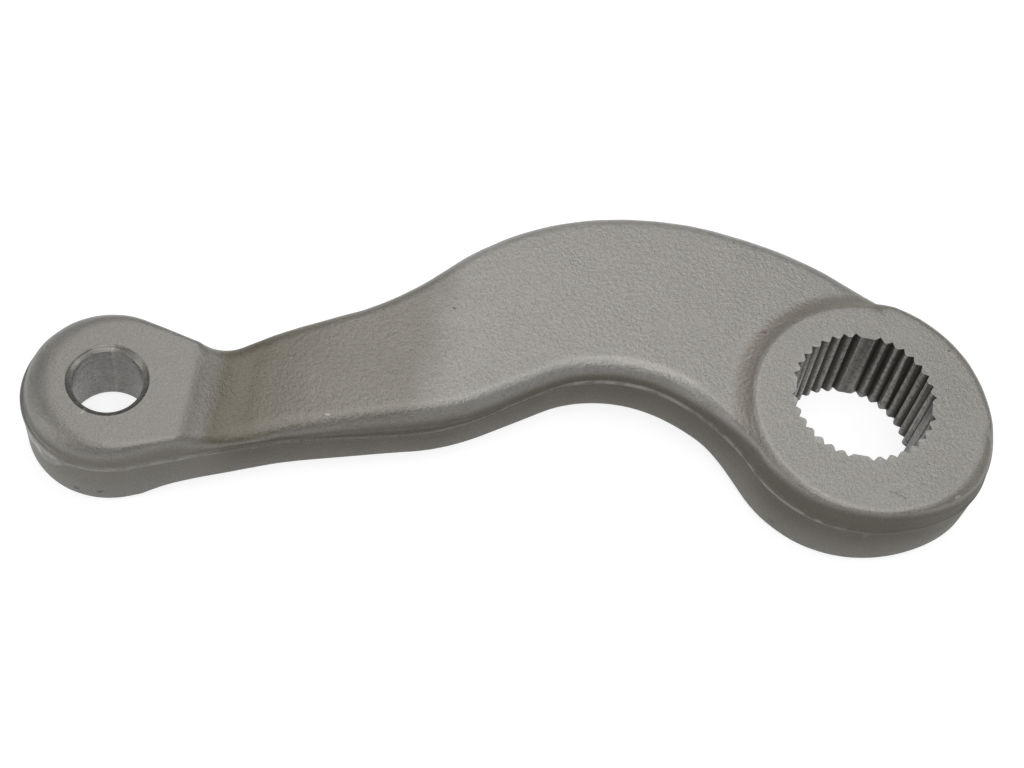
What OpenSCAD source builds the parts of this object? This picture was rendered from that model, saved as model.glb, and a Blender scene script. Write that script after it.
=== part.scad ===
// Pitman arm: one steel forging with a splined hub and a tapered ball-stud eye.
// The origin is on the spline axis at the hub's lower face and +Z runs up that axis.
// The small eye lies along -X and the back of the arm bows towards +Y.
// The forging is two die halves that meet at a level parting line.
// The flats, the spline and the stud hole are then cut into it.

/* [Sizes] */
// Distance between the spline axis and the stud axis
arm_length = 161; // [156:0.5:166]
// Reach of the back edge from the line between the two axes
bow = 48.4; // [46:0.1:51]
// Hub radius at the parting line
hub_r = 28.6; // [28:0.1:31]
// Hub thickness between its two machined faces
hub_h = 22; // [20.5:0.1:23]
// Small eye radius at the parting line
eye_r = 18.6; // [18:0.1:19.5]
// Height of the small eye's machined upper face
eye_top = 20.8; // [20:0.1:21.5]
// Height of the small eye's machined lower face
eye_bottom = 1.5; // [1:0.1:2.5]
// Height of the flat upper face of the web
web_top = 20; // [19.5:0.1:20.4]
// Height of the flat lower face of the web
web_bottom = 3.8; // [3:0.1:4.6]
// Height of the dip between the web and the small eye
neck_top = 17.8; // [17.2:0.1:18.6]
// Height of the lower face under that dip
neck_bottom = 3.4; // [2.6:0.1:4.5]

/* [Front edge] */
// Angle at which the front edge leaves the small eye
front_leave = -74; // [-80:1:-70]
// Straight run beside the small eye
front_neck_run = 27.5; // [23:0.5:29]
// Radius of the bend past the neck
front_neck_r = 76; // [50:1:80]
// Straight run under the slope
front_slope_run = 21; // [20:0.5:25]
// Radius of the outward bend before the bay
front_hip_r = 48; // [42:1:58]
// Straight run into the bay
front_bay_run = 13.4; // [12:0.1:15]
// Radius at the top of the bay
bay_r = 24.5; // [24:0.5:29]
// Radius of the bay where it runs out to the hub
bay_end_r = 42; // [38:0.5:46]
// Angle at which the bay meets the hub
front_join = -150; // [-154:1:-146]

/* [Back edge] */
// Angle at which the back edge leaves the small eye
back_leave = 61; // [56:1:63]
// Straight run beside the small eye
back_neck_run = 9.5; // [7:0.5:10]
// Radius of the hollow behind the neck
back_neck_r = 10.5; // [9:0.5:13]
// Radius of the swell past the hollow
back_swell_r = 95; // [80:1:130]
// Straight run along the slope
back_slope_run = 9; // [6:0.5:11]
// Radius of the second hollow
back_hollow_r = 56; // [42:1:60]
// Straight run up to the crown
back_crown_run = 8; // [6:0.5:10]
// Radius of the crown's rise
crown_rise_r = 61; // [55:1:70]
// Radius at the crown
crown_r = 62; // [58:1:70]
// Radius of the crown's fall to the hub
crown_fall_r = 91; // [84:1:105]
// Angle at which the back edge meets the hub
back_join = 75; // [72:1:79]

/* [Forging] */
// Height of the parting line
parting_z = 14.5; // [13.5:0.1:15]
// Height of the trimmed flash line that is left on the wall
flash_h = 0.8; // [0.4:0.1:1.2]
// How far the trimmed flash line stands out of the upper wall
flash_out = 0.45; // [0.2:0.05:0.8]
// How far it stands out of the lower wall
flash_low = 0.2; // [0.1:0.05:0.5]
// Extra flash left at the tip of the small eye
eye_flash = 0.5; // [0:0.1:2.6]
// Draft of the upper walls in degrees
draft_up = 4; // [2:0.5:7]
// Draft of the lower walls in degrees
draft_low = 2.5; // [0.5:0.5:4]
// Width of the arm's rounded upper edge
arm_edge_w = 4; // [3:0.1:5]
// Height of the arm's rounded upper edge
arm_edge_h = 4.2; // [3:0.1:4.5]
// Least width of the eye's rounded upper edge
eye_edge_w = 2.4; // [2:0.1:4]
// Width that this edge gains towards the tip of the eye
tip_edge_w = 8.2; // [2:0.1:8.5]
// Height of the eye's rounded upper edge
eye_edge_h = 5; // [4:0.1:5.5]
// Width of the hub's rounded upper edge at the front
hub_edge_w = 1.4; // [1:0.1:3]
// Height of the hub's rounded upper edge at the front
hub_edge_h = 3.4; // [2.5:0.1:5]
// Width that the hub's edge gains towards its back
back_edge_w = 4.6; // [0:0.1:5]
// Height that the hub's edge gains towards its back
back_edge_h = 2.6; // [0:0.1:3]
// Rounding of the lower edges
low_edge_r = 1.4; // [1:0.1:2]
// Radius of the blend from the web up to the hub face
hub_blend_r = 9.4; // [8:0.1:12]
// Radius of the blend from the dip up to the eye's face
eye_blend_r = 21.7; // [18:0.1:26]
// Radius of the blends under the arm
low_blend_r = 9; // [8:0.1:12]
// Stock above each machined face before it is cut
stock = 1; // [0.6:0.1:1.4]

/* [Spline] */
// Radius to the groove roots at the upper face
spline_root_r = 16; // [15.5:0.05:16.5]
// Depth of the grooves at the upper face
spline_depth = 1; // [0.8:0.05:1.1]
// Diameter lost for each unit of depth
spline_taper = 0.0625; // [0:0.0025:0.08]
// Grooves between two blank lands
grooves_per_quarter = 8; // [8:1:8]
// Angle of the first blank land
spline_clock = -10; // [-45:1:45]

/* [Stud hole] */
// Radius of the stud hole at the eye's upper face
stud_r = 7.35; // [6.5:0.05:8]
// Diameter gained for each unit of depth
stud_taper = 0.125; // [0.1:0.005:0.15]
// Radius of the countersink at the eye's upper face
sink_r = 8.7; // [8:0.05:9.5]
// Depth of the countersink
sink_depth = 0.9; // [0.5:0.1:1.5]

/* [Fineness] */
// Steps round the small eye
eye_steps = 26; // [20:1:32]
// Steps along the arm
arm_steps = 56; // [44:1:60]
// Steps round the hub
hub_steps = 36; // [28:1:40]

/* [Hidden] */

// Offset of the forged hub and the forged eye from the bored axes
hub_c = [0.3, -0.9];
eye_c = [0.2 - arm_length, 0.15];
// Centre of the hub's upper face, the radii at which the hub's blends start, and the face's swell to the back
face_c = [1.1, -2.9];
hub_foot_r = 31.3;
low_foot_r = 34;
face_swell = 0.03;
// The crease at the eye's face: a point on it and the direction square to it
crease_p = [17.2 - arm_length, -3.75];
crease_n = [cos(9.5), -sin(9.5)];
// Distances from the crease: foot of the blend, start and end of the slope's upper bend
dip_q = 11;
bend_q = 38;
flat_q = 54;
low_dip_q = 2.5;
// Directions of the eye's widest edge and of the hub's back, and the hub's swell with its direction
eye_tip_a = 172;
hub_back_a = 50;
hub_swell = 1.9;
hub_swell_a = -40;
swell_power = 8;
// Angles that the edges turn through, in the order of their radii
front_turns = [6, 20, 63, 32];
back_turns = [56, 9, 18, 29.5, 27.5, 25.5];
// Shares of the two edges at which the hub's round sheet starts, and the steps from there on
front_gate = 0.905;
back_gate = 0.92;
join_steps = 6;
// Power that puts the bow's lift on the crown
crown_place = 1.8;
// Rows round the two edges, columns across the arm, and rows towards the hub's and the eye's centres
edge_rows = 5;
low_edge_rows = 3;
face_cols = 12;
hub_rows = 7;
hub_row_step = 0.05;
eye_rows = 2;
eye_row_step = 0.35;
// How much closer the steps along the arm lie at its ends, as a share of one step
closer = 0.4;
// Run over which the arm's edge sizes change into those of an eye, and the least height of an upper wall
change_run = 10;
wall_min = 0.3;
// Half the run over which a face's slope is taken
slope_run = 2;
// How far a cut runs past a face, and past the forging
over = 1;
clear = 12;

// Runs and bends: [0, length] is straight, [radius, angle] turns left, a negative radius right
front_path = [
    [0, front_neck_run],
    [-front_neck_r, front_turns[0]],
    [0, front_slope_run],
    [front_hip_r, front_turns[1]],
    [0, front_bay_run],
    [-bay_r, front_turns[2]],
    [-bay_end_r, front_turns[3]]
];
back_path = [
    [0, back_neck_run],
    [back_neck_r, back_turns[0]],
    [-back_swell_r, back_turns[1]],
    [0, back_slope_run],
    [back_hollow_r, back_turns[2]],
    [0, back_crown_run],
    [-crown_rise_r, back_turns[3]],
    [-crown_r, back_turns[4]],
    [-crown_fall_r, back_turns[5]]
];

function unit(a) = [cos(a), sin(a)];
function limit(v) = min(max(v, 0), 1);
function run_len(s) = s[0] == 0 ? s[1] : abs(s[0]) * s[1] * PI / 180;
function path_len(path, i = 0) = i == len(path) ? 0 : run_len(path[i]) + path_len(path, i + 1);

// Point and heading after a length of one run or bend
function along(pose, s, l) =
    let (p = pose[0], h = pose[1])
    s[0] == 0
    ? [p + l * unit(h), h]
    : let (a = l / s[0] * 180 / PI)
      [p + s[0] * [sin(h + a) - sin(h), cos(h) - cos(h + a)], h + a];

// Point and heading after a length of a whole path
function walk(pose, path, l, i = 0) =
    let (n = run_len(path[i]))
    l <= n || i == len(path) - 1
    ? along(pose, path[i], l)
    : walk(along(pose, path[i], n), path, l - n, i + 1);

// An edge of the arm: first point and heading, path, length, miss at the goal, and inward side
function track(start, heading, path, goal, side) =
    let (n = path_len(path), miss = goal - walk([start, heading], path, n)[0])
    [start, heading, path, n, miss, side];

// Station at a share of an edge: a point of the outline and its inward direction
function station(t, u, lift = 0) =
    let (pose = walk([t[0], t[1]], t[2], u * t[3]))
    [
        pose[0] + u * t[4] + [0, lift * pow(sin(180 * pow(u, crown_place)), 2)],
        t[5] * [-sin(pose[1]), cos(pose[1])]
    ];

function ring_station(c, r, a) = [c + r * unit(a), -unit(a)];
function hub_reach(a) = hub_r + hub_swell * pow(max(cos(a - hub_swell_a), 0), swell_power);
function hub_station(a) = ring_station(hub_c, hub_reach(a), a);

front_track = track(eye_c + eye_r * unit(front_leave), front_leave + 90, front_path,
    hub_station(front_join)[0], 1);
back_track = track(eye_c + eye_r * unit(back_leave), back_leave - 90, back_path,
    hub_station(back_join)[0], -1);
lift = bow - max([for (k = [0:arm_steps]) station(back_track, k / arm_steps)[0][1]]);

// Share of the arm at a step, with the steps closer together at both ends
function spread(t) = t - closer * sin(360 * t) / (2 * PI);

// Stations of the two edges from the eye to the gate, and from the gate on to the hub
arm_front = [for (k = [0:arm_steps]) station(front_track, front_gate * spread(k / arm_steps), lift)];
arm_back = [for (k = [0:arm_steps]) station(back_track, back_gate * spread(k / arm_steps), lift)];
join_front = [for (k = [1:join_steps])
    station(front_track, front_gate + (1 - front_gate) * k / join_steps, lift)];
join_back = [for (k = [join_steps:-1:1])
    station(back_track, back_gate + (1 - back_gate) * k / join_steps, lift)];
hub_round = [for (k = [1:hub_steps - 1])
    hub_station(front_join + (back_join - front_join) * k / hub_steps)];
eye_round = [for (k = [1:eye_steps - 1])
    ring_station(eye_c, eye_r, back_leave + (360 + front_leave - back_leave) * k / eye_steps)];

// Distance of a point from the crease, towards the hub
function crease_q(p) = (p - crease_p) * crease_n;

// Rise of a round blend at a distance inside its foot, up to a limit
function blend(d, r, most) =
    d <= 0 ? 0 : d >= r ? most : min(most, r - sqrt(r * r - d * d));

// Level of a slope that leads from the web's level to the dip's
function slope(q, web, neck) =
    let (
        t = max(flat_q - max(q, dip_q), 0),
        bend = flat_q - bend_q,
        m = (web - neck) / (flat_q - dip_q - bend / 2)
    )
    web - (t < bend ? m * t * t / (2 * bend) : m * (t - bend / 2));

// Height of the upper and of the lower forged face over a point
function upper(p) =
    let (
        q = crease_q(p),
        low = slope(q, web_top, neck_top),
        boss = blend(dip_q - q, eye_blend_r, eye_top + stock - low),
        swell = face_swell * max((p - face_c) * unit(hub_back_a), 0),
        hub = blend(hub_foot_r + swell - norm(p - face_c), hub_blend_r, hub_h + stock - low)
    )
    low + max(boss, hub);
function lower(p) =
    let (
        q = crease_q(p),
        high = slope(q, web_bottom, neck_bottom),
        boss = blend(low_dip_q - q, eye_blend_r, high - eye_bottom + stock),
        hub = blend(low_foot_r - norm(p - hub_c), low_blend_r, high + stock)
    )
    high - max(boss, hub);

// Slope with which the upper face rises over a point in a direction, where it rises
function rise(p, n) = max(upper(p + slope_run * n) - upper(p - slope_run * n), 0) / (2 * slope_run);

// How far a direction faces an angle, from 1 along it to -1 away from it
function facing_to(v, a) = v * unit(a) / norm(v);

// Share of the eye's and of the hub's own edge sizes at a point of the outline
function near_eye(p) = limit(1 - (norm(p - eye_c) - eye_r) / change_run);
function near_hub(p) = limit(1 - (norm(p - hub_c) - hub_r) / change_run);

// Points down one wall, from the rim of the upper face to the rim of the lower face
function wall(st) =
    let (
        p = st[0],
        n = st[1],
        we = near_eye(p),
        wh = near_hub(p),
        tip = (1 + facing_to(p - eye_c, eye_tip_a)) / 2,
        back = max(facing_to(p - hub_c, hub_back_a), 0),
        ledge = flash_out + we * eye_flash * tip * tip,
        w = arm_edge_w
            + we * (eye_edge_w + tip_edge_w * tip - arm_edge_w)
            + wh * (hub_edge_w + back_edge_w * back - arm_edge_w),
        full_h = arm_edge_h
            + we * (eye_edge_h - arm_edge_h)
            + wh * (hub_edge_h + back_edge_h * back - arm_edge_h),
        start = atan2(full_h, w * rise(p + n * (ledge + w), n)),
        top = upper(p + n * (ledge + w * (1 - cos(start)))),
        z_up = parting_z + flash_h / 2 + flash_out / 2,
        h = min(full_h, top - z_up - wall_min),
        d_up = ledge + (top - h * sin(start) - z_up) * tan(draft_up),
        bottom = lower(p + n * (flash_low + low_edge_r)),
        z_low = parting_z - flash_h / 2 - flash_low,
        d_low = flash_low + (z_low - bottom - low_edge_r) * tan(draft_low)
    )
    concat(
        [for (k = [edge_rows:-1:0])
            let (a = start * k / edge_rows)
            at(p + n * (d_up + w * (1 - cos(a))), top + h * (sin(a) - sin(start)))],
        [
            at(p + n * ledge, z_up),
            at(p, parting_z + flash_h / 2),
            at(p, parting_z - flash_h / 2),
            at(p + n * flash_low, z_low)
        ],
        [for (k = [0:low_edge_rows])
            let (a = 90 * k / low_edge_rows)
            at(p + n * (d_low + low_edge_r * (1 - cos(a))), bottom + low_edge_r * (1 - sin(a)))]
    );

function at(g, z) = [g[0], g[1], z];
function flat(g) = [g[0], g[1]];
function over_face(g, up) = at(g, up ? upper(g) : lower(g));
function rim(st, up) = let (w = wall(st)) up ? w[0] : w[len(w) - 1];
function turn(v) = let (a = atan2(v[1], v[0])) a < 0 ? a + 360 : a;

// Offset of the round gate from a straight line between its two ends, at a share of its width
function gate_bow(a, b, c, t) =
    let (ha = turn(a - c), hb = turn(b - c))
    c + (norm(a - c) * (1 - t) + norm(b - c) * t) * unit(ha + (hb - ha) * t) - a - (b - a) * t;

// Rows across one face of the arm, straight at the eye and round at the gate
function arm_sheet(up) =
    let (
        c = up ? face_c : hub_c,
        a_gate = flat(rim(arm_front[arm_steps], up)),
        b_gate = flat(rim(arm_back[arm_steps], up))
    )
    [for (k = [0:arm_steps])
        let (a = rim(arm_front[k], up), b = rim(arm_back[k], up), w = pow(k / arm_steps, 3))
        [for (j = [0:face_cols])
            let (t = j / face_cols, g = flat(a + (b - a) * t) + w * gate_bow(a_gate, b_gate, c, t))
            j == 0 ? a : j == face_cols ? b : over_face(g, up)]];

// Rows from a closed line of points in towards a centre
function spokes(ring, c, rows, step, up) =
    [for (p = concat(ring, [ring[0]]))
        [for (k = [0:rows]) k == 0 ? p : over_face(flat(p) + (c - flat(p)) * step * k, up)]];

// Triangles of a net of rows, each patch split along its shorter diagonal
function patch(a, b, c, d) =
    norm(a - c) < norm(b - d) ? [[a, b, c], [a, c, d]] : [[a, b, d], [b, c, d]];
function net(rows) =
    [for (i = [0:len(rows) - 2], j = [0:len(rows[0]) - 2])
        each patch(rows[i][j], rows[i + 1][j], rows[i + 1][j + 1], rows[i][j + 1])];
function disc(rows, c, up) =
    let (last = len(rows[0]) - 1, tip = over_face(c, up))
    concat(net(rows), [for (i = [0:len(rows) - 2]) [rows[i][last], rows[i + 1][last], tip]]);
function turned(faces) = [for (f = faces) [f[2], f[1], f[0]]];
function reversed(v) = [for (i = [len(v) - 1:-1:0]) v[i]];
function middle(v) = [for (i = [1:len(v) - 2]) v[i]];

// One face of the forging: the arm's sheet and the discs of the hub and the eye at its ends
function face(up) =
    let (
        arm = arm_sheet(up),
        hub_stations = concat(
            [arm_front[arm_steps]], join_front, hub_round, join_back, [arm_back[arm_steps]]),
        hub_rim = concat([for (st = hub_stations) rim(st, up)], reversed(middle(arm[arm_steps]))),
        eye_stations = concat([arm_back[0]], eye_round, [arm_front[0]]),
        eye_rim = concat([for (st = eye_stations) rim(st, up)], middle(arm[0])),
        hub_mid = up ? face_c : hub_c
    )
    concat(
        net(arm),
        disc(spokes(hub_rim, hub_mid, hub_rows, hub_row_step, up), hub_mid, up),
        disc(spokes(eye_rim, eye_c, eye_rows, eye_row_step, up), eye_c, up)
    );

outline = concat(
    arm_front, join_front, hub_round, join_back, reversed(arm_back), eye_round, [arm_front[0]]);
skin = concat(net([for (st = outline) wall(st)]), turned(face(true)), face(false));

// The forging before any cut
module forging() {
    polyhedron(
        points = [for (f = skin) each f],
        faces = [for (i = [0:len(skin) - 1]) [3 * i, 3 * i + 1, 3 * i + 2]],
        convexity = 6
    );
}

// Round cuts that leave the flat faces of one eye
module facing(r, low, high) {
    translate([0, 0, high])
        cylinder(r = r, h = clear, $fn = 96);
    translate([0, 0, low - clear])
        cylinder(r = r, h = clear, $fn = 96);
}

// Outline of the serrated hole at a given root radius
module serration(root_r) {
    per_quarter = grooves_per_quarter + 1;
    pitch = 90 / per_quarter;
    depth = spline_depth * root_r / spline_root_r;
    minor_r = root_r - depth;
    half = asin(depth / minor_r);
    polygon([for (quarter = [0:3], k = [1:grooves_per_quarter])
        let (a = spline_clock + 90 * quarter + pitch * k)
        each [minor_r * unit(a - half), root_r * unit(a), minor_r * unit(a + half)]]);
}

// Tapered serrated hole through the hub, widest at the upper face
module spline_hole() {
    low_r = spline_root_r - (hub_h + over) * spline_taper / 2;
    high_r = spline_root_r + over * spline_taper / 2;
    translate([0, 0, -over])
        linear_extrude(height = hub_h + 2 * over, scale = high_r / low_r)
            serration(low_r);
}

// Tapered stud hole through the small eye, widest at the lower face, with its countersink
module stud_hole() {
    depth = eye_top - eye_bottom;
    slant = (sink_r - stud_r) / sink_depth;
    translate([0, 0, eye_bottom - over])
        cylinder(
            r1 = stud_r + (depth + over) * stud_taper / 2,
            r2 = stud_r - over * stud_taper / 2,
            h = depth + 2 * over,
            $fn = 96
        );
    translate([0, 0, eye_top - sink_depth])
        cylinder(r1 = stud_r, r2 = sink_r + over * slant, h = sink_depth + over, $fn = 96);
}

module pitman_arm() {
    color([0.57, 0.56, 0.54])
        difference() {
            forging();
            facing(hub_r + clear, 0, hub_h);
            translate([-arm_length, 0, 0])
                facing(eye_r + clear, eye_bottom, eye_top);
            spline_hole();
            translate([-arm_length, 0, 0])
                stud_hole();
        }
}

pitman_arm();
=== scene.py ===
"""A forged pitman arm lying on a white studio floor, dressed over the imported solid."""
import math

import bpy
import numpy as np
from mathutils import Matrix, Vector, noise


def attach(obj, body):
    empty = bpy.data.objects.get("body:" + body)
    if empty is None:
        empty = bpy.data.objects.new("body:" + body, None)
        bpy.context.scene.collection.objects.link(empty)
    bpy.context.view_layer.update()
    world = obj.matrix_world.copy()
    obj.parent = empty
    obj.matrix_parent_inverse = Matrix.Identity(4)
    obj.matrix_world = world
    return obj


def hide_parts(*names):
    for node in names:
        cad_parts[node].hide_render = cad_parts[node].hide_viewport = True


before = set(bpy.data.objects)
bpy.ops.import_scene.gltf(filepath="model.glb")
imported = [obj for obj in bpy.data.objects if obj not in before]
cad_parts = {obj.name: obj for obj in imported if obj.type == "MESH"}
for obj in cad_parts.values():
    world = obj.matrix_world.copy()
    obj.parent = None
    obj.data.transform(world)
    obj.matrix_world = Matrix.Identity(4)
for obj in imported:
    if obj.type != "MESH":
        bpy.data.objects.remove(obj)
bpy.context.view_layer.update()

MM = 0.001

# Sizes of the arm, in millimetres and degrees, as in the solid
ARM_LENGTH = 161
BOW = 48.4
HUB_R = 28.6
HUB_H = 22
EYE_R = 18.6
EYE_TOP = 20.8
EYE_BOTTOM = 1.5
WEB_TOP = 20
WEB_BOTTOM = 3.8
NECK_TOP = 17.8
NECK_BOTTOM = 3.4

# Edges of the arm: runs are (0, length), bends (radius, angle) with a negative radius to the right
FRONT_LEAVE = -74
FRONT_JOIN = -150
FRONT_PATH = [(0, 27.5), (-76, 6), (0, 21), (48, 20), (0, 13.4), (-24.5, 63), (-42, 32)]
BACK_LEAVE = 61
BACK_JOIN = 75
BACK_PATH = [(0, 9.5), (10.5, 56), (-95, 9), (0, 9), (56, 18), (0, 8),
             (-61, 29.5), (-62, 27.5), (-91, 25.5)]
CROWN_PLACE = 1.8

# Forged walls, roundings and blends
PARTING_Z = 14.5
FLASH_H = 0.8
FLASH_OUT = 0.45
FLASH_LOW = 0.2
EYE_FLASH = 0.5
DRAFT_UP = math.radians(4)
DRAFT_LOW = math.radians(2.5)
ARM_EDGE_W = 4
ARM_EDGE_H = 4.2
EYE_EDGE_W = 2.4
TIP_EDGE_W = 8.2
EYE_EDGE_H = 5
HUB_EDGE_W = 1.4
HUB_EDGE_H = 3.4
BACK_EDGE_W = 4.6
BACK_EDGE_H = 2.6
LOW_EDGE_R = 1.4
HUB_BLEND_R = 9.4
EYE_BLEND_R = 21.7
LOW_BLEND_R = 9
STOCK = 1
CHANGE_RUN = 10
WALL_MIN = 0.3
SLOPE_RUN = 2

HUB_C = np.array([0.3, -0.9])
EYE_C = np.array([0.2 - ARM_LENGTH, 0.15])
FACE_C = np.array([1.1, -2.9])
HUB_FOOT_R = 31.3
LOW_FOOT_R = 34
FACE_SWELL = 0.03
CREASE_P = np.array([17.2 - ARM_LENGTH, -3.75])
CREASE_A = -9.5
DIP_Q = 11
BEND_Q = 38
FLAT_Q = 54
LOW_DIP_Q = 2.5
EYE_TIP_A = 172
HUB_BACK_A = 50
HUB_SWELL = 1.9
HUB_SWELL_A = -40
SWELL_POWER = 8

# Holes
SPLINE_ROOT_R = 16
SPLINE_DEPTH = 1
SPLINE_TAPER = 0.0625
GROOVES_PER_QUARTER = 8
SPLINE_CLOCK = -10
STUD_R = 7.35
STUD_TAPER = 0.125
SINK_R = 8.7
SINK_DEPTH = 0.9
OVER = 1
CLEAR = 12

# The parting line dips along the arm, and the upper edge is rounded deeper there
DIP_X = -100
DIP_RUN = 22
PARTING_DIP = 2.2

# The flash step fades out round the front of the hub
FADE_A = -55
FADE = 0.8

# Softness of the real edges: the rounding of the flats' rims, how often the flash line's corners
# are cut, and the angle from which an edge shows as sharp
FACE_SOFT = 0.5
FLASH_CUTS = 2
SHARP = math.radians(32)

# Unevenness of the forging: the wandering cut of the flash, and the waves of the dies as depth
# and size
TRIM_WANDER = 0.09
TRIM_SIZE = 6
TRIM_LAYER = 3.0
DIE_WAVES = ((0.06, 9), (0.025, 3.2))

# Fineness of the dressed skin
BOW_STEPS = 56
EYE_STEPS = 96
ARM_STEPS = 230
HUB_STEPS = 130
JOIN_STEPS = 16
EDGE_ROWS = 14
WALL_ROWS = 9
LOW_EDGE_ROWS = 5
FACE_COLS = 46
FRONT_GATE = 0.905
BACK_GATE = 0.92
HUB_ROWS = 20
HUB_ROW_STEP = 0.02
EYE_ROWS = 8
EYE_ROW_STEP = 0.1
HOLE_STEPS = 160


def unit(a):
    a = np.radians(a)
    return np.stack([np.cos(a), np.sin(a)], axis=-1)


# Outline of the forging

def run_len(run):
    return run[1] if run[0] == 0 else abs(run[0]) * math.radians(run[1])


def along(point, heading, run, length):
    """Point and heading after a length of one straight run or bend."""
    if run[0] == 0:
        return point + length * unit(heading), heading
    ahead = heading + math.degrees(length / run[0])
    turn = np.array([math.sin(math.radians(ahead)) - math.sin(math.radians(heading)),
                     math.cos(math.radians(heading)) - math.cos(math.radians(ahead))])
    return point + run[0] * turn, ahead


def walk(point, heading, path, length):
    """Point and heading after a length of a whole path."""
    for run in path[:-1]:
        if length <= run_len(run):
            return along(point, heading, run, length)
        point, heading = along(point, heading, run, run_len(run))
        length -= run_len(run)
    return along(point, heading, path[-1], length)


def hub_reach(a):
    return HUB_R + HUB_SWELL * np.maximum(np.cos(np.radians(a - HUB_SWELL_A)), 0) ** SWELL_POWER


class Edge:
    """One long edge of the arm, led from the eye onto the hub."""

    def __init__(self, leave, heading, path, join, side):
        self.start = EYE_C + EYE_R * unit(leave)
        self.heading, self.path, self.side = heading, path, side
        self.length = sum(run_len(run) for run in path)
        goal = HUB_C + hub_reach(join) * unit(join)
        self.miss = goal - walk(self.start, heading, path, self.length)[0]

    def stations(self, shares, lift=0.0):
        """Points of the outline and their inward directions at shares of the edge."""
        rows = []
        for u in shares:
            point, heading = walk(self.start, self.heading, self.path, u * self.length)
            rise = lift * math.sin(math.pi * u ** CROWN_PLACE) ** 2
            h = math.radians(heading)
            inward = -self.side * math.sin(h), self.side * math.cos(h)
            rows.append([*(point + u * self.miss + [0, rise]), *inward])
        return np.array(rows)


def ring_stations(centre, radius, angles):
    out = unit(angles)
    return np.hstack([centre + np.reshape(radius, (-1, 1)) * out, -out])


# Heights of the two forged faces

def crease_q(p):
    """Distance from the crease between the eye and the neck, towards the hub."""
    return (p - CREASE_P) @ unit(CREASE_A)


def blend(d, r, most):
    """Height of a round blend at a distance past its foot, up to a limit."""
    d = np.clip(d, 0, r)
    return np.minimum(most, np.where(d >= r, most, r - np.sqrt(r * r - d * d)))


def slope(q, web, neck):
    """Height of a face that falls from the web to the neck."""
    t = np.maximum(FLAT_Q - np.maximum(q, DIP_Q), 0)
    bend = FLAT_Q - BEND_Q
    m = (web - neck) / (FLAT_Q - DIP_Q - bend / 2)
    return web - np.where(t < bend, m * t * t / (2 * bend), m * (t - bend / 2))


def upper(p):
    q = crease_q(p)
    low = slope(q, WEB_TOP, NECK_TOP)
    boss = blend(DIP_Q - q, EYE_BLEND_R, EYE_TOP + STOCK - low)
    swell = FACE_SWELL * np.maximum((p - FACE_C) @ unit(HUB_BACK_A), 0)
    inside = HUB_FOOT_R + swell - np.linalg.norm(p - FACE_C, axis=-1)
    return low + np.maximum(boss, blend(inside, HUB_BLEND_R, HUB_H + STOCK - low))


def lower(p):
    q = crease_q(p)
    high = slope(q, WEB_BOTTOM, NECK_BOTTOM)
    boss = blend(LOW_DIP_Q - q, EYE_BLEND_R, high - EYE_BOTTOM + STOCK)
    hub = blend(LOW_FOOT_R - np.linalg.norm(p - HUB_C, axis=-1), LOW_BLEND_R, high + STOCK)
    return high - np.maximum(boss, hub)


# Walls and sheets of the skin

def near(p, centre, radius):
    return np.clip(1 - (np.linalg.norm(p - centre, axis=1) - radius) / CHANGE_RUN, 0, 1)


def facing_to(v, a):
    return v @ unit(a) / np.linalg.norm(v, axis=1)


def trimmed(p):
    """How much further the flash stands out, along the shear's wandering cut."""
    return np.array([TRIM_WANDER * noise.noise(Vector((x / TRIM_SIZE, y / TRIM_SIZE, TRIM_LAYER)))
                     for x, y in p])


def soften(rows, cuts):
    """Rows of a profile with the corners between its first and last row cut off."""
    for _ in range(cuts):
        mid = [c for a, b in zip(rows[:-1], rows[1:])
               for c in (0.75 * a + 0.25 * b, 0.25 * a + 0.75 * b)]
        rows = [rows[0], *mid[1:-1], rows[-1]]
    return rows


def led(arm, eye, hub, at_eye, at_hub):
    """Size of the arm's rounding, led onto that of the eye and of the hub."""
    return arm + at_eye * (eye - arm) + at_hub * (hub - arm)


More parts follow.
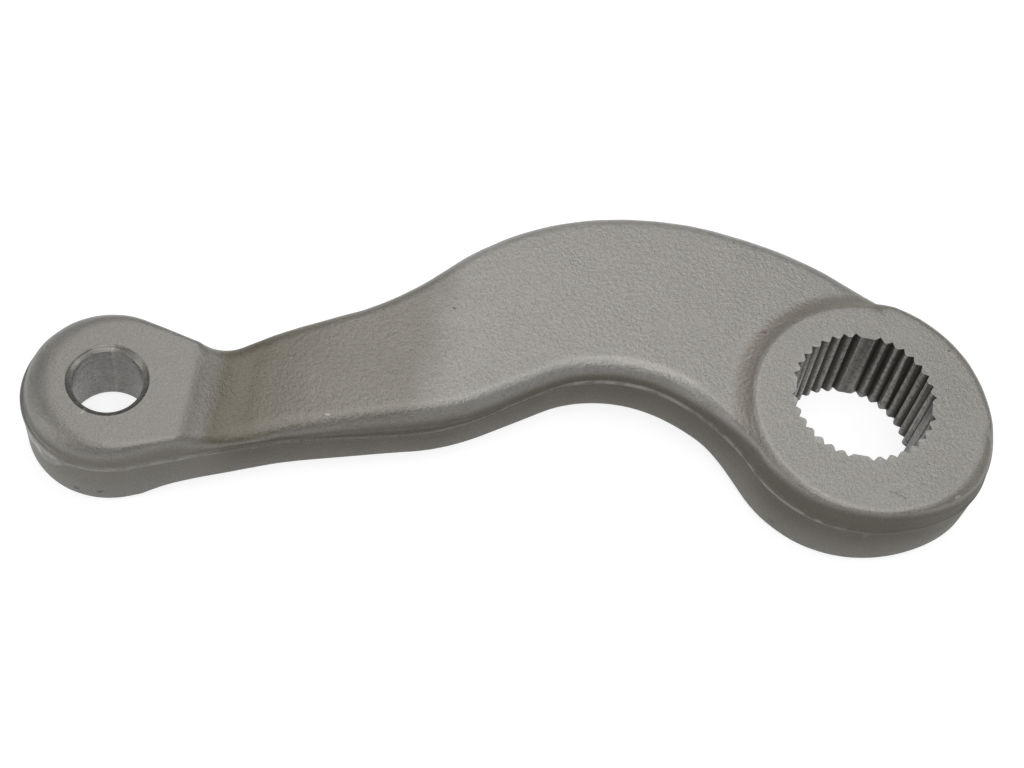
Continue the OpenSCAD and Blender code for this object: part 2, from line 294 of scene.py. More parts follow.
def walls(stations):
    """Points down each wall, from the upper rim to the lower rim."""
    p, n = stations[:, :2], stations[:, 2:]
    dip = PARTING_DIP * np.exp(-((p[:, 0] - DIP_X) / DIP_RUN) ** 2)
    parting = PARTING_Z - dip
    we, wh = near(p, EYE_C, EYE_R), near(p, HUB_C, HUB_R)
    tip = (1 + facing_to(p - EYE_C, EYE_TIP_A)) / 2
    back = np.maximum(facing_to(p - HUB_C, HUB_BACK_A), 0)
    fade = FADE * wh * np.maximum(facing_to(p - HUB_C, FADE_A), 0) ** 2
    ledge = FLASH_OUT * (1 - fade) + we * EYE_FLASH * tip * tip + trimmed(p)

    # Upper rounding: it starts square to the face where the face rises inwards
    w = led(ARM_EDGE_W, EYE_EDGE_W + TIP_EDGE_W * tip, HUB_EDGE_W + BACK_EDGE_W * back, we, wh)
    full_h = led(ARM_EDGE_H, EYE_EDGE_H, HUB_EDGE_H + BACK_EDGE_H * back, we, wh) + dip
    inner = p + n * (ledge + w)[:, None]
    gain = upper(inner + SLOPE_RUN * n) - upper(inner - SLOPE_RUN * n)
    start = np.arctan2(full_h, w * np.maximum(gain, 0) / (2 * SLOPE_RUN))
    top = upper(p + n * (ledge + w * (1 - np.cos(start)))[:, None])
    z_up = parting + FLASH_H / 2 + FLASH_OUT / 2
    h = np.minimum(full_h, top - z_up - WALL_MIN)
    foot_up = top - h * np.sin(start)
    d_up = ledge + (foot_up - z_up) * math.tan(DRAFT_UP)

    # Lower wall and its rounding
    bottom = lower(p + n * (FLASH_LOW + LOW_EDGE_R))
    z_low = parting - FLASH_H / 2 - FLASH_LOW
    foot_low = bottom + LOW_EDGE_R
    d_low = FLASH_LOW + (z_low - foot_low) * math.tan(DRAFT_LOW)

    def row(inset, z):
        inset = np.broadcast_to(inset, len(p))
        return np.column_stack([p + n * inset[:, None], np.broadcast_to(z, len(p))])

    rows = []
    for k in range(EDGE_ROWS, -1, -1):
        a = start * k / EDGE_ROWS
        rows.append(row(d_up + w * (1 - np.cos(a)), foot_up + h * np.sin(a)))
    flash = [rows.pop(), row(ledge, z_up), row(0.0, parting + FLASH_H / 2),
             row(0.0, parting - FLASH_H / 2), row(FLASH_LOW, z_low)]
    rows += soften(flash, FLASH_CUTS)
    for k in range(1, WALL_ROWS):
        t = k / WALL_ROWS
        rows.append(row(FLASH_LOW + (d_low - FLASH_LOW) * t, z_low + (foot_low - z_low) * t))
    for k in range(LOW_EDGE_ROWS + 1):
        a = math.pi / 2 * k / LOW_EDGE_ROWS
        rows.append(row(d_low + LOW_EDGE_R * (1 - math.cos(a)),
                        foot_low - LOW_EDGE_R * math.sin(a)))
    return np.stack(rows, axis=1)


def over_face(p, up):
    return np.column_stack([p, upper(p) if up else lower(p)])


def gate_bow(a, b, centre, t):
    """Offset of the round gate from the straight line between its ends."""
    ha, hb = (math.degrees(math.atan2(*(v - centre)[::-1])) % 360 for v in (a, b))
    reach = np.linalg.norm(a - centre) * (1 - t) + np.linalg.norm(b - centre) * t
    return centre + reach[:, None] * unit(ha + (hb - ha) * t) - a - np.outer(t, b - a)


def arm_sheet(front, back, up):
    """Rows across one face of the arm, straight at the eye and round at the gate."""
    t = np.linspace(0, 1, FACE_COLS + 1)
    bow = gate_bow(front[-1, :2], back[-1, :2], FACE_C if up else HUB_C, t)
    rows = []
    for k, (a, b) in enumerate(zip(front, back)):
        g = a[:2] + np.outer(t, b[:2] - a[:2]) + (k / ARM_STEPS) ** 3 * bow
        row = over_face(g, up)
        row[0], row[-1] = a, b
        rows.append(row)
    return np.array(rows)


def spokes(ring, centre, rows, step, up):
    """Rows from a closed line of points in towards a centre."""
    ring = np.vstack([ring, ring[:1]])
    flat = ring[:, :2]
    nets = [over_face(flat + (centre - flat) * step * k, up) for k in range(1, rows + 1)]
    return np.stack([ring, *nets], axis=1)


class Skin:
    """Gathers nets of points into one closed mesh."""

    def __init__(self):
        self.points, self.faces, self.places = [], [], {}

    def index(self, p):
        key = tuple(np.round(p, 6))
        if key not in self.places:
            self.places[key] = len(self.points)
            self.points.append(key)
        return self.places[key]

    def net(self, rows, up):
        ids = [[self.index(p) for p in row] for row in rows]
        for i in range(len(ids) - 1):
            for j in range(len(ids[0]) - 1):
                quad = (ids[i][j], ids[i + 1][j], ids[i + 1][j + 1], ids[i][j + 1])
                self.faces.append(quad if up else quad[::-1])
        return ids

    def disc(self, rows, centre, up):
        ids = self.net(rows, up)
        tip = self.index(over_face(np.array([centre]), up)[0])
        for a, b in zip(ids[:-1], ids[1:]):
            self.faces.append((a[-1], b[-1], tip) if up else (tip, b[-1], a[-1]))


def forging_skin():
    """The whole forging before the holes: its wall, and on each side an arm sheet and two discs."""
    front = Edge(FRONT_LEAVE, FRONT_LEAVE + 90, FRONT_PATH, FRONT_JOIN, 1)
    back = Edge(BACK_LEAVE, BACK_LEAVE - 90, BACK_PATH, BACK_JOIN, -1)
    lift = BOW - back.stations(np.linspace(0, 1, BOW_STEPS + 1))[:, 1].max()
    t = np.linspace(0, 1, ARM_STEPS + 1)
    on = np.linspace(0, 1, JOIN_STEPS + 1)[1:]
    arm_front = front.stations(FRONT_GATE * t, lift)
    arm_back = back.stations(BACK_GATE * t, lift)
    join_front = front.stations(FRONT_GATE + (1 - FRONT_GATE) * on, lift)
    join_back = back.stations(BACK_GATE + (1 - BACK_GATE) * on[::-1], lift)
    hub_a = np.linspace(FRONT_JOIN, BACK_JOIN, HUB_STEPS + 1)[1:-1]
    hub_round = ring_stations(HUB_C, hub_reach(hub_a), hub_a)
    eye_a = np.linspace(BACK_LEAVE, 360 + FRONT_LEAVE, EYE_STEPS + 1)[1:-1]
    eye_round = ring_stations(EYE_C, np.full(len(eye_a), EYE_R), eye_a)

    skin = Skin()
    outline = np.vstack([arm_front, join_front, hub_round, join_back,
                         arm_back[::-1], eye_round, arm_front[:1]])
    skin.net(walls(outline), False)
    hub_stations = np.vstack([arm_front[-1:], join_front, hub_round, join_back, arm_back[-1:]])
    eye_stations = np.vstack([arm_back[:1], eye_round, arm_front[:1]])
    for up, rim, hub_mid in ((True, 0, FACE_C), (False, -1, HUB_C)):
        arm = arm_sheet(walls(arm_front)[:, rim], walls(arm_back)[:, rim], up)
        hub_rim = np.vstack([walls(hub_stations)[:, rim], arm[-1][-2:0:-1]])
        eye_rim = np.vstack([walls(eye_stations)[:, rim], arm[0][1:-1]])
        skin.net(arm, up)
        skin.disc(spokes(hub_rim, hub_mid, HUB_ROWS, HUB_ROW_STEP, up), hub_mid, up)
        skin.disc(spokes(eye_rim, EYE_C, EYE_ROWS, EYE_ROW_STEP, up), EYE_C, up)
    return skin


def solid(name, points, faces):
    mesh = bpy.data.meshes.new(name)
    mesh.from_pydata([Vector(p) * MM for p in points], [], faces)
    mesh.validate()
    piece = bpy.data.objects.new(name, mesh)
    bpy.context.scene.collection.objects.link(piece)
    return piece


# Cutters

def lathe(centre, levels):
    """Points and faces of a round solid given as (radius, height) from the bottom up."""
    points, faces = [], []
    around = unit(np.arange(HOLE_STEPS) * 360 / HOLE_STEPS)
    for k, (r, z) in enumerate(levels):
        points += [(*(centre + r * u), z) for u in around]
        if k:
            base = (k - 1) * HOLE_STEPS
            for i in range(HOLE_STEPS):
                j = (i + 1) % HOLE_STEPS
                faces.append((base + i, base + j, base + HOLE_STEPS + j, base + HOLE_STEPS + i))
    last = len(points) - HOLE_STEPS
    faces += [tuple(range(HOLE_STEPS - 1, -1, -1)), tuple(range(last, last + HOLE_STEPS))]
    return points, faces


def spline_cutter():
    """Tapered serrated plug, widest at the upper face."""
    pitch = 90 / (GROOVES_PER_QUARTER + 1)
    points = []
    for z in (-OVER, HUB_H + OVER):
        root_r = SPLINE_ROOT_R - (HUB_H - z) * SPLINE_TAPER / 2
        minor_r = root_r * (1 - SPLINE_DEPTH / SPLINE_ROOT_R)
        half = math.degrees(math.asin((root_r - minor_r) / minor_r))
        for quarter in range(4):
            for k in range(1, GROOVES_PER_QUARTER + 1):
                a = SPLINE_CLOCK + 90 * quarter + pitch * k
                groove = ((minor_r, a - half), (root_r, a), (minor_r, a + half))
                points += [(*(r * unit(b)), z) for r, b in groove]
    n = len(points) // 2
    faces = [(i, (i + 1) % n, n + (i + 1) % n, n + i) for i in range(n)]
    return points, faces + [tuple(range(n - 1, -1, -1)), tuple(range(n, 2 * n))]


def stud_cutter():
    """Conical plug with its countersink, widest at the lower face."""
    slant = (SINK_R - STUD_R) / SINK_DEPTH
    return lathe(np.array([-ARM_LENGTH, 0]), [
        (STUD_R + (EYE_TOP - EYE_BOTTOM + OVER) * STUD_TAPER / 2, EYE_BOTTOM - OVER),
        (STUD_R + SINK_DEPTH * STUD_TAPER / 2, EYE_TOP - SINK_DEPTH),
        (SINK_R + OVER * slant, EYE_TOP + OVER)])


def cut(piece, points, faces):
    cutter = solid("cutter", points, faces)
    mod = piece.modifiers.new("cut", "BOOLEAN")
    mod.operation, mod.object, mod.solver = "DIFFERENCE", cutter, "MANIFOLD"
    graph = bpy.context.evaluated_depsgraph_get()
    mesh = bpy.data.meshes.new_from_object(piece.evaluated_get(graph))
    piece.modifiers.clear()
    piece.data = mesh
    bpy.data.objects.remove(cutter)


# The arm

def soft_min(a, b, k):
    """The smaller of two heights, with a round change over of size k."""
    h = np.maximum(k - np.abs(a - b), 0) / k
    return np.minimum(a, b) - h * h * k / 4


def finish_skin(piece):
    """Die waviness on the forged skin, then the flats of the hub and the eye with soft rims."""
    mesh = piece.data
    points = np.array([v.co for v in mesh.vertices]) / MM
    normals = np.array([n.vector for n in mesh.vertex_normals])
    depth = [sum(deep * (1 + noise.noise(Vector(p) / size)) for deep, size in DIE_WAVES)
             for p in points]
    points -= normals * np.array(depth)[:, None]
    for centre, r, low, high in (((0, 0), HUB_R, 0, HUB_H),
                                 ((-ARM_LENGTH, 0), EYE_R, EYE_BOTTOM, EYE_TOP)):
        here = np.linalg.norm(points[:, :2] - centre, axis=1) < r + CLEAR
        z = soft_min(points[here, 2], high, FACE_SOFT)
        points[here, 2] = -soft_min(-z, -low, FACE_SOFT)
    mesh.vertices.foreach_set("co", (points * MM).ravel())
    mesh.update()


skin = forging_skin()
arm = solid("pitman_arm_forging", skin.points, skin.faces)
finish_skin(arm)
cut(arm, *spline_cutter())
cut(arm, *stud_cutter())
arm.data.polygons.foreach_set("use_smooth", [True] * len(arm.data.polygons))
arm.data.set_sharp_from_angle(angle=SHARP)


# Materials

class Shader:
    """Builds one material's node tree."""

    def __init__(self, name):
        self.material = bpy.data.materials.new(name)
        self.material.use_nodes = True
        self.tree = self.material.node_tree
        self.tree.nodes.clear()

    def add(self, kind, inputs=None, out=0, **settings):
        node = self.tree.nodes.new("ShaderNode" + kind)
        for key, value in settings.items():
            setattr(node, key, value)
        for key, value in (inputs or {}).items():
            if isinstance(value, bpy.types.NodeSocket):
                self.tree.links.new(value, node.inputs[key])
            else:
                node.inputs[key].default_value = value
        return node.outputs[out]

    def math(self, operation, a, b=0.0):
        return self.add("Math", {0: a, 1: b}, operation=operation)

    def fold(self, operation, first, *others):
        for other in others:
            first = self.math(operation, first, other)
        return first

    def product(self, *values):
        return self.fold("MULTIPLY", *values)

    def total(self, *values):
        return self.fold("ADD", *values)

    def largest(self, *values):
        return self.fold("MAXIMUM", *values)

    def less(self, a, b):
        return self.math("SUBTRACT", a, b)

    def apart(self, a, b):
        return self.math("ABSOLUTE", self.less(a, b))

    def vector(self, operation, a, b):
        return self.add("VectorMath", {0: a, 1: b}, operation=operation)

    def scaled(self, v, by):
        return self.add("VectorMath", {0: v, "Scale": by}, operation="SCALE")

    def dot(self, a, b):
        return self.add("VectorMath", {0: a, 1: b}, out="Value", operation="DOT_PRODUCT")

    def length(self, v):
        return self.add("VectorMath", {0: v}, out="Value", operation="LENGTH")

    def distance(self, a, b):
        return self.length(self.vector("SUBTRACT", a, b))

    def part(self, v, axis):
        return self.add("SeparateXYZ", {0: v}, out=axis)

    def ramp(self, value, start, end, low=0.0, high=1.0):
        """Smooth change from low to high while a value goes from start to end."""
        return self.add("MapRange", {0: value, 1: start, 2: end, 3: low, 4: high},
                        interpolation_type="SMOOTHSTEP")

    def mix(self, share, a, b, blend="MIX"):
        return self.add("Mix", {0: share, 6: a, 7: b}, out=2, data_type="RGBA", blend_type=blend)

    def tint(self, share, colour, by):
        return self.mix(share, colour, self.mix(1.0, colour, by, "MULTIPLY"))

    def noise(self, p, size, detail=2.0, roughness=0.5):
        return self.add("TexNoise", {"Vector": p, "Scale": 1 / size, "Detail": detail,
                                     "Roughness": roughness})

    def stroke(self, p, a, b, width):
        """Mask of a short straight mark from one point of the skin to another."""
        v = Vector(b) - Vector(a)
        off = self.vector("SUBTRACT", p, a)
        share = self.add("Clamp", {0: self.dot(off, v / v.length_squared)})
        return self.ramp(self.distance(off, self.scaled(v, share)), width, width / 3)

    def strokes(self, p, marks):
        return self.largest(*(self.stroke(p, *mark) for mark in marks))

    def finish(self, surface):
        output = self.tree.nodes.new("ShaderNodeOutputMaterial")
        self.tree.links.new(surface, output.inputs["Surface"])
        return self.material


# Colours of the steel, of what lies on it or shows through, and of painted shade and highlight
STEEL_DARK = (0.300, 0.288, 0.268, 1)
STEEL_LIGHT = (0.362, 0.348, 0.325, 1)
# Bare metal of the trimmed flash, also a painted highlight on the flash ledge
BARE_METAL_AND_HIGHLIGHT = (0.56, 0.545, 0.52, 1)
# Worn edges, and a painted highlight on the upper rims
WORN_STEEL_AND_HIGHLIGHT = (0.44, 0.425, 0.40, 1)
NICK_SHINE = (0.60, 0.58, 0.55, 1)
# Painted shade in hollows
HOLLOW_SHADE_COLOUR = (0.10, 0.093, 0.08, 1)
# Painted shade in the countersink and at its foot
SINK_SHADE_COLOUR = (0.11, 0.103, 0.092, 1)
PIT_DIRT = (0.09, 0.08, 0.065, 1)
SCAR_DIRT = (0.07, 0.065, 0.055, 1)
RUST = (0.17, 0.105, 0.06, 1)

# Tints, by which the steel's colour is multiplied
STAIN_TINT = (0.50, 0.475, 0.385, 1)
EYE_TINT = (0.83, 0.825, 0.82, 1)
# Painted shade on the sloping fillet round the hub
FILLET_SHADE_TINT = (0.84, 0.815, 0.76, 1)
# Painted shade on the walls
WALL_SHADE_TINT = (0.48, 0.458, 0.404, 1)
# Painted shade inside the spline hole
SERRATION_SHADE_TINT = (0.20, 0.19, 0.178, 1)
# Painted shade inside the stud hole
BORE_SHADE_TINT = (0.31, 0.308, 0.304, 1)

# Sizes of the textures, in millimetres
LEATHER_SIZE = 0.95
GRAIN_SIZE = 0.34
MOTTLE_SIZE = 13
PIT_SPACING = 8
SCAR_SIZE = 3.5
STAIN_SIZE = 11
STAIN_WANDER = 9.0
TURNING_SCALE = (0.1, 0.1, 3.2)
TEAR_SIZE = 0.9
TEAR = (1.6, 1.6, 1.6)

# Depths of the relief, in millimetres
LEATHER_DEPTH = 0.17
MILLED_DEPTH = 0.11
GRAIN_DEPTH = 0.09
TURNING_DEPTH = 0.15
PIT_DEPTH = 0.12
MARK_DEPTH = 0.15

# Places on the skin: the bay and the eye's tip on the parting line, the ring of the hub's fillet,
# and the stain's bands as end, full strength and share, measured along the neck from the crease
BAY_MID = (-36, -12, PARTING_Z)
EYE_TIP = (-179, -8, PARTING_Z)
RING_R = 27.6
STAIN_BANDS = ((55, 43, 0.52), (32, 12, 0.34), (15, 9.5, 0.26))

# Marks of handling: both ends and the half width
HUB_SCRATCHES = [((2.66, -23.06, 22), (5.65, -24.89, 22), 0.2)]
BORE_SCRATCHES = [((-159.5, 8.1, 7.1), (-155.2, 5.9, 5.9), 0.2)]
NICKS = [((-115.5, -5.9, 18.7), (-114.9, -5.9, 18.7), 0.35),
         ((-130.7, -11.6, 13.6), (-129.9, -11.6, 13.8), 0.35),
         ((16.9, -24.0, 21), (17.9, -23.6, 21), 0.5)]
DENTS = [((-167.6, -16.4, 3.6), (-166.8, -16.8, 4.0), 0.6),
         ((-162.6, -17.8, 4.6), (-161.9, -17.8, 4.9), 0.7),
         ((-19.4, -21.1, 3.8), (-18.4, -21.4, 3.8), 0.5)]
RUST_SPOTS = [((-13.8, 18.4, 21.8), (-13.5, 18.5, 21.8), 0.45),
              ((-20.4, 16.8, 20.3), (-20.1, 16.9, 20.3), 0.5),
              ((20.2, 12.2, 22), (20.4, 12.1, 22), 0.35)]


class ForgedSteel(Shader):
    """Shot-blasted forging with a stained neck, worn edges and a few marks of handling, with
    painted shade on the walls, hollows, fillet and holes and a painted highlight on the rims and
    the flash.
    """

    def __init__(self):
        super().__init__("forged_steel")
        coord = self.add("TexCoord").node.outputs
        self.p = self.scaled(coord["Object"], 1 / MM)
        self.facing = self.part(coord["Normal"], "Z")
        self.level = self.part(self.p, "Z")
        self.flat_p = self.vector("MULTIPLY", self.p, (1, 1, 0))
        self.from_hub = self.length(self.flat_p)
        self.from_stud = self.distance(self.flat_p, (-ARM_LENGTH, 0, 0))
        self.crease = self.dot(self.vector("SUBTRACT", self.p, (*CREASE_P, 0)),
                               (*unit(CREASE_A), 0))
        self.find_holes()
        self.find_walls()
        self.find_trim()
        self.textures()
        self.handling()

    def find_holes(self):
        """Masks of the two holes, the countersink, and the milled flats round the holes."""
        neck_z = EYE_TOP - SINK_DEPTH
        self.serration = self.product(
            self.ramp(self.from_hub, SPLINE_ROOT_R + 0.4, SPLINE_ROOT_R + 0.1),
            self.ramp(self.level, HUB_H, HUB_H - 0.15))
        self.bore = self.product(self.ramp(self.from_stud, SINK_R + 0.15, SINK_R - 0.05),
                                 self.ramp(self.level, EYE_TOP, EYE_TOP - 0.1))
        self.sink = self.product(self.bore, self.ramp(self.level, neck_z - 0.3, neck_z - 0.1))
        # Ring at the foot of the countersink, where painted shade goes
        self.sink_foot_shade = self.product(
            self.bore, self.ramp(self.apart(self.level, neck_z - 0.1), 0.35, 0.1))
        self.machined = self.largest(self.serration, self.bore)
        self.forged = self.less(1.0, self.machined)
        self.milled = self.largest(*(
            self.product(self.ramp(away, r + 2, r + 1), self.ramp(self.level, top - 0.5, top - 0.2))
            for away, r, top in ((self.from_hub, HUB_R, HUB_H), (self.from_stud, EYE_R, EYE_TOP))))

    def find_walls(self):
        """Masks of the walls with the ledge of the flash, and of the painted shade on them, darker
        towards the top and lighter near the eye.
        """
        ledge = self.product(self.ramp(self.level, PARTING_Z + 1.3, PARTING_Z + 0.7),
                             self.ramp(self.facing, -0.5, 0),
                             self.ramp(self.crease, 40, 70, 0.5, 1))
        upright = self.ramp(self.math("ABSOLUTE", self.facing), 0.62, 0.1)
        self.wall = self.product(self.largest(upright, ledge), self.forged)
        # Painted shade: the walls are darkened, more so higher up and less near the eye
        self.wall_shade = self.product(self.wall, self.ramp(self.level, 1, 13, 0.3, 1),
                                  self.ramp(self.from_stud, 20, 34, 0.45, 1))

    def find_trim(self):
        """Mask of the trimmed flash, partly bare metal and partly a painted highlight: along the
        bay and in a broad scar round the eye's tip.
        """
        in_bay = self.ramp(self.distance(self.p, BAY_MID), 42, 24)
        at_tip = self.ramp(self.distance(self.p, EYE_TIP), 16, 8)
        line_z = self.less(PARTING_Z + 0.2, self.product(at_tip, 3.0))
        line_half = self.ramp(at_tip, 0, 1, 0.6, 4.2)
        off_line = self.math("DIVIDE", self.apart(self.level, line_z), line_half)
        bare_and_lit = self.largest(at_tip, self.ramp(self.from_stud, 32, 22, 0, 0.4),
                            self.ramp(in_bay, 0, 1, 0.1, 0.5))
        broken = self.ramp(self.noise(self.p, SCAR_SIZE, 2.0, 0.6), 0.35, 0.6, 0.25, 1)
        self.trim_and_highlight = self.product(self.ramp(off_line, 1, 0.2), self.ramp(self.facing, 0.9, 0.7),
                                 self.forged, bare_and_lit, broken)

    def textures(self):
        """Leathery skin, blasted grain, mottling, turning marks in the stud hole, sparse pits."""
        self.leather = self.noise(self.p, LEATHER_SIZE, 1.5, 0.55)
        self.grain = self.noise(self.p, GRAIN_SIZE, 2.0, 0.6)
        self.mottle = self.noise(self.p, MOTTLE_SIZE, 3.0, 0.55)
        self.turned = self.noise(self.vector("MULTIPLY", self.p, TURNING_SCALE), 1)
        cells = self.add("TexVoronoi", {"Vector": self.p, "Scale": 1 / PIT_SPACING,
                                        "Randomness": 1.0}).node.outputs
        chosen = self.math("GREATER_THAN", self.add("SeparateColor", {0: cells["Color"]}), 0.72)
        self.pit = self.product(self.ramp(cells["Distance"], 0.05, 0.02), chosen, self.forged)

    def handling(self):
        """Masks of scratches, nicks, dents and rust spots, most of them with torn edges."""
        stray = self.add("TexNoise", {"Vector": self.p, "Scale": 1 / TEAR_SIZE, "Detail": 2.0},
                         out="Color")
        shift = self.vector("MULTIPLY", self.vector("SUBTRACT", stray, (0.5, 0.5, 0.5)), TEAR)
        torn = self.vector("ADD", self.p, shift)
        self.scratch = self.largest(self.strokes(torn, HUB_SCRATCHES),
                                    self.strokes(self.p, BORE_SCRATCHES))
        self.nick = self.strokes(self.p, NICKS)
        self.dent = self.strokes(torn, DENTS)
        self.rust = self.strokes(torn, RUST_SPOTS)

    def stain(self):
        """Mask of the olive oil film on the neck."""
        wander = self.product(self.less(self.noise(self.p, STAIN_SIZE), 0.5), STAIN_WANDER,
                              self.ramp(self.crease, 6, 18))
        along_neck = self.total(self.crease, wander)
        bands = self.total(*(self.product(self.ramp(along_neck, end, full), share)
                             for end, full, share in STAIN_BANDS))
        return self.product(bands, self.ramp(self.crease, 2, 7, 0.3, 1),
                            self.ramp(self.crease, -2, 0), self.ramp(self.facing, 0.3, 0.8))

    def steel(self, film):
        """Mottled warm grey: stained on the neck, with painted shade on the walls, the hub's fillet
        and in the holes, and the trimmed flash bare with a painted highlight.
        """
        colour = self.mix(self.mottle, STEEL_DARK, STEEL_LIGHT)
        speckle = self.ramp(self.grain, 0.25, 0.75, 0.83, 1.17)
        colour = self.mix(1.0, colour, speckle, "MULTIPLY")
        eye = self.product(self.ramp(self.crease, 1.5, -1.5), self.ramp(self.facing, 0.3, 0.8))
        off_ring = self.apart(self.distance(self.flat_p, (*FACE_C, 0)), RING_R)
        # Painted shade: the fillet ring round the hub's face is darkened
        fillet_shade = self.product(self.ramp(off_ring, 3.4, 1.4), self.ramp(self.facing, 0.4, 0.8),
                              self.ramp(self.level, HUB_H - 0.02, HUB_H - 0.15))
        # Painted light: the countersink's far side is kept out of the painted shade, so it stays
        # lighter
        sink_lit_side = self.product(self.sink, self.ramp(self.part(self.p, "Y"), -3, 5, 0, 0.8))
        # The fillet, wall, serration and bore tints are painted shade; the stain and the eye's tone
        # belong to the steel
        for share, by in ((film, STAIN_TINT), (eye, EYE_TINT), (fillet_shade, FILLET_SHADE_TINT),
                          (self.wall_shade, WALL_SHADE_TINT), (self.serration, SERRATION_SHADE_TINT),
                          (self.less(self.bore, sink_lit_side), BORE_SHADE_TINT)):
            colour = self.tint(share, colour, by)
        # Painted shade: the countersink is darkened, with a dark line at its foot
        sink_shade = self.largest(self.product(self.less(self.sink, sink_lit_side), 0.3), self.sink_foot_shade)
        colour = self.mix(self.product(sink_shade, 0.75), colour, SINK_SHADE_COLOUR)
        # The trimmed flash: partly bare metal, partly a painted highlight on the flash ledge
        return self.mix(self.trim_and_highlight, colour, BARE_METAL_AND_HIGHLIGHT)

    def wear(self, film):
        """Masks of painted shade in hollows, and of worn ridges with a painted highlight on rims.
        """
        pointed = self.add("NewGeometry", out="Pointiness")
        # Painted shade: concave hollows are darkened
        hollow_shade = self.ramp(pointed, 0.49, 0.43, 0, 0.55)
        ridge = self.product(self.ramp(pointed, 0.52, 0.60), self.ramp(self.wall, 0, 1, 1, 0.25))
        # Painted highlight: a light band where the flats start to round over, none on the hub,
        # weaker on the neck, none under the stain
        rim = self.product(self.ramp(self.facing, 0.997, 0.97, 0, 0.5),
                           self.ramp(self.facing, 0.45, 0.85), self.ramp(self.from_hub, 33, 38),
                           self.ramp(self.crease, 44, 60, 0.15, 1), self.less(1.0, film))
        patchy = self.ramp(self.leather, 0.3, 0.6, 0.35, 0.8)
        return hollow_shade, self.product(self.largest(ridge, rim), patchy)

    def relief(self):
        leather = self.product(self.leather,
                               self.ramp(self.milled, 0, 1, LEATHER_DEPTH, MILLED_DEPTH),
                               self.ramp(self.crease, 6, 24, 0.6, 1))
        rough_skin = self.product(self.total(leather, self.product(self.grain, GRAIN_DEPTH)),
                                  self.ramp(self.machined, 0, 1, 1, 0.12))
        height = self.total(rough_skin, self.product(self.turned, self.bore, TURNING_DEPTH))
        marks = self.largest(self.dent, self.scratch, self.rust)
        hollow = self.total(self.product(self.pit, PIT_DEPTH), self.product(marks, MARK_DEPTH))
        return self.add("Bump", {"Height": self.less(height, hollow), "Distance": MM})

    def build(self):
        film = self.stain()
        hollow_shade, wear_and_highlight = self.wear(film)
        scar = self.largest(self.dent, self.product(self.scratch, 0.7))
        colour = self.steel(film)
        # Hollows get painted shade and the rims a painted highlight; pits, scars, rust and nicks
        # are marks of the steel
        for share, over in ((hollow_shade, HOLLOW_SHADE_COLOUR), (wear_and_highlight, WORN_STEEL_AND_HIGHLIGHT),
                            (self.product(self.pit, 0.35), PIT_DIRT),
                            (self.product(scar, 0.5), SCAR_DIRT),
                            (self.product(self.rust, 0.6), RUST),
                            (self.product(self.nick, 0.6), NICK_SHINE)):
            colour = self.mix(share, colour, over)
        rough = self.total(
            self.ramp(self.mottle, 0.3, 0.7, 0.37, 0.46),
            self.product(self.less(self.grain, 0.5), 0.25),
            self.product(self.less(self.wall, self.largest(wear_and_highlight, self.bore)), 0.12))
        dull = self.largest(self.wall, self.serration, self.product(self.bore, 0.5))
        return self.finish(self.add("BsdfPrincipled", {
            "Base Color": colour, "Metallic": 0.35, "Roughness": rough,
            "Specular IOR Level": self.ramp(dull, 0, 1, 0.5, 0.15), "Normal": self.relief()}))


arm.data.materials.clear()
arm.data.materials.append(ForgedSteel().build())
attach(arm, "root")
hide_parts("pitman_arm")


# Floor, light and camera, in metres and watts

FLOOR_SIZE = 8
FLOOR_Z = -0.0002
FLOOR_GLOW = 0.82
FLOOR_GREY = (0.35, 0.35, 0.35, 1)
WORLD_GREY = (0.07, 0.07, 0.07, 1)
ARM_MID = (-0.07, 0, 0)

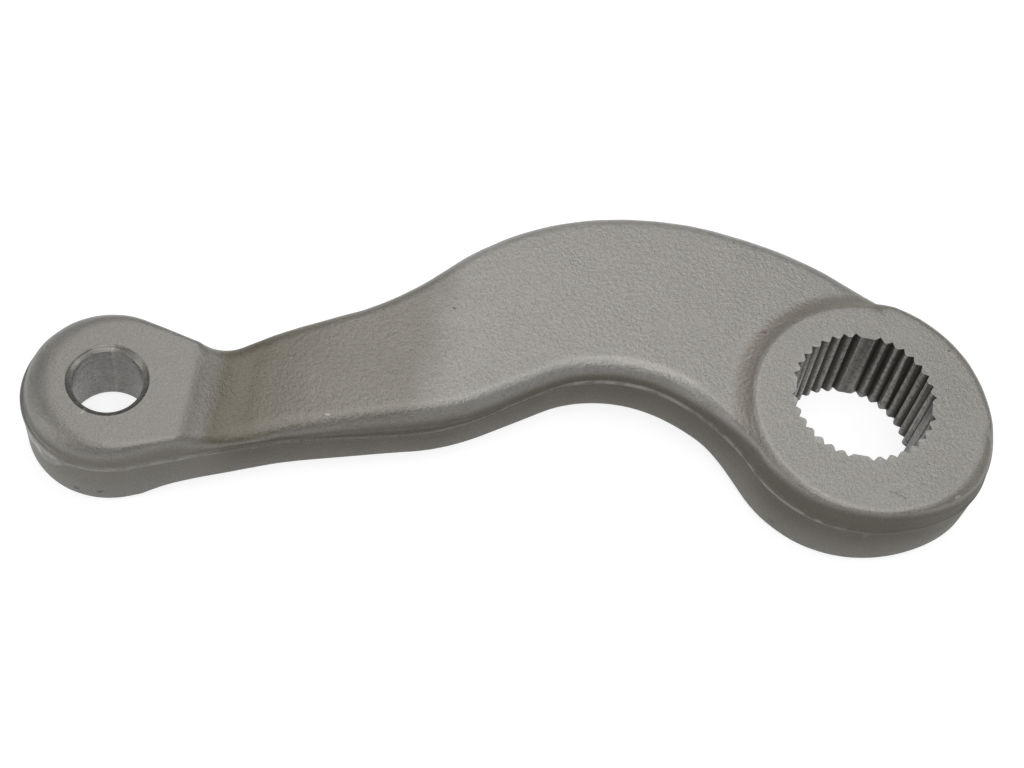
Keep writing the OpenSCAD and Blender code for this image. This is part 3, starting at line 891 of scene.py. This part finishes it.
# Softboxes aimed at the middle of the arm: name, place, size and power
SOFTBOXES = [
    ("top_box", (-0.07, 0, 1), (0.7, 0.7), 3.5),
    ("back_box", (-0.07, 0.6, 0.85), (0.6, 0.5), 2.15),
    ("right_box", (0.6, 0, 0.8), (0.5, 0.5), 1.5),
    ("front_box", (-0.07, -0.6, 0.85), (0.6, 0.5), 2.2),
    ("left_box", (-1, -0.2, 0.35), (0.5, 0.4), 1.8)]

# The photograph's camera
LENS = 76.5
SENSOR = 36
CAMERA_PLACE = Matrix(((0.99323, -0.0256, -0.11328, -0.1287),
                       (-0.03665, 0.85646, -0.5149, -0.23642),
                       (0.1102, 0.51557, 0.84973, 0.41332),
                       (0, 0, 0, 1)))


def paper():
    """Pale floor that takes the shadow and shows as white to the camera and in reflections."""
    s = Shader("paper")
    path = s.add("LightPath").node.outputs
    seen = s.largest(path["Is Camera Ray"], path["Is Glossy Ray"], path["Is Transmission Ray"])
    glow = s.add("Emission", {"Color": (1, 1, 1, 1), "Strength": s.product(seen, FLOOR_GLOW)})
    sheet = s.add("BsdfDiffuse", {"Color": FLOOR_GREY})
    return s.finish(s.add("AddShader", {0: glow, 1: sheet}))


def softbox(name, place, size, watts):
    lamp = bpy.data.lights.new(name, "AREA")
    lamp.shape, lamp.size, lamp.size_y, lamp.energy = "RECTANGLE", *size, watts
    box = bpy.data.objects.new(name, lamp)
    box.location = place
    aim = Vector(ARM_MID) - Vector(place)
    box.rotation_euler = aim.to_track_quat("-Z", "Y").to_euler()
    bpy.context.scene.collection.objects.link(box)


bpy.ops.mesh.primitive_plane_add(size=FLOOR_SIZE, location=(0, 0, FLOOR_Z))
floor = bpy.context.object
floor.name = "floor"
floor.data.materials.append(paper())

for lamp in SOFTBOXES:
    softbox(*lamp)
world = bpy.context.scene.world or bpy.data.worlds.new("studio")
bpy.context.scene.world = world
world.use_nodes = True
world.node_tree.nodes["Background"].inputs["Color"].default_value = WORLD_GREY

cam = bpy.data.cameras.new("camera")
cam.lens, cam.sensor_width = LENS, SENSOR
viewer = bpy.data.objects.new("camera", cam)
viewer.matrix_world = CAMERA_PLACE
bpy.context.scene.collection.objects.link(viewer)
bpy.context.scene.camera = viewer
bpy.context.scene.view_settings.view_transform = "Standard"
